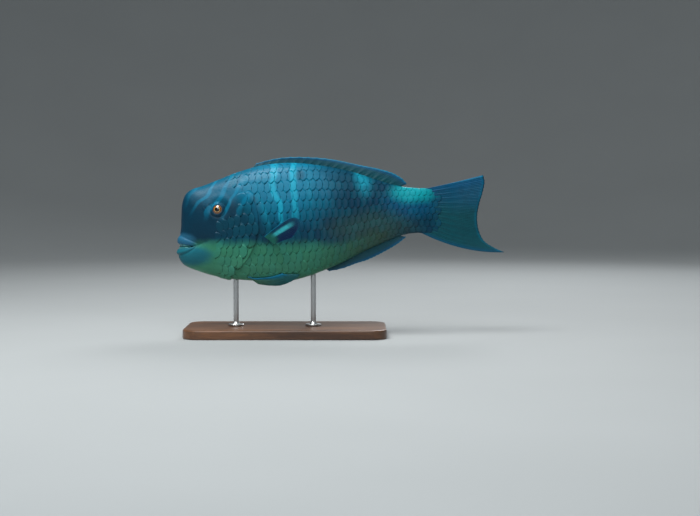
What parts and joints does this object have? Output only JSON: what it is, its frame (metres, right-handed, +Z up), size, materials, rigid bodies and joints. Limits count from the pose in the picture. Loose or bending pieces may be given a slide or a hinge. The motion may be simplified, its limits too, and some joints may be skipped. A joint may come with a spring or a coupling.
{
  "type": "parrotfish",
  "caption": "Life-size model of a steephead parrotfish swimming level, pectoral fins raised, on a flat base with slim rods.",
  "frame": {"origin": "middle of the underside of the stand's base, where the model rests", "axes": "-X towards the fish's snout, +X towards its tail, -Y its left side, +Z up"},
  "size_m": [0.4944, 0.2386, 0.2675],
  "materials": {
    "skin": "painted scaly skin, blue-green above and olive below, under a wet gloss",
    "fin": "ribbed fin membrane, dark blue-green with vivid blue edges, satin",
    "beak": "blue-green dental plate, polished by wear",
    "eye": "dark pupil in an orange-brown iris under a clear gloss",
    "base": "dark oiled walnut, satin",
    "rod": "brushed, satin"
  },
  "bodies": {
    "root": {"head": "skin", "gill_cover_left": "skin", "gill_cover_right": "skin", "torso": "skin", "tail_stalk": "skin", "beak_upper": "beak", "beak_lower": "beak", "eye_left": "eye", "eye_right": "eye", "dorsal_fin": "fin", "anal_fin": "fin", "caudal_fin": "fin", "pectoral_fin_left": "fin", "pectoral_fin_right": "fin", "pelvic_fin_left": "fin", "pelvic_fin_right": "fin", "stand_base": "base", "stand_rod_front": "rod", "stand_rod_rear": "rod"}
  },
  "joints": []
}
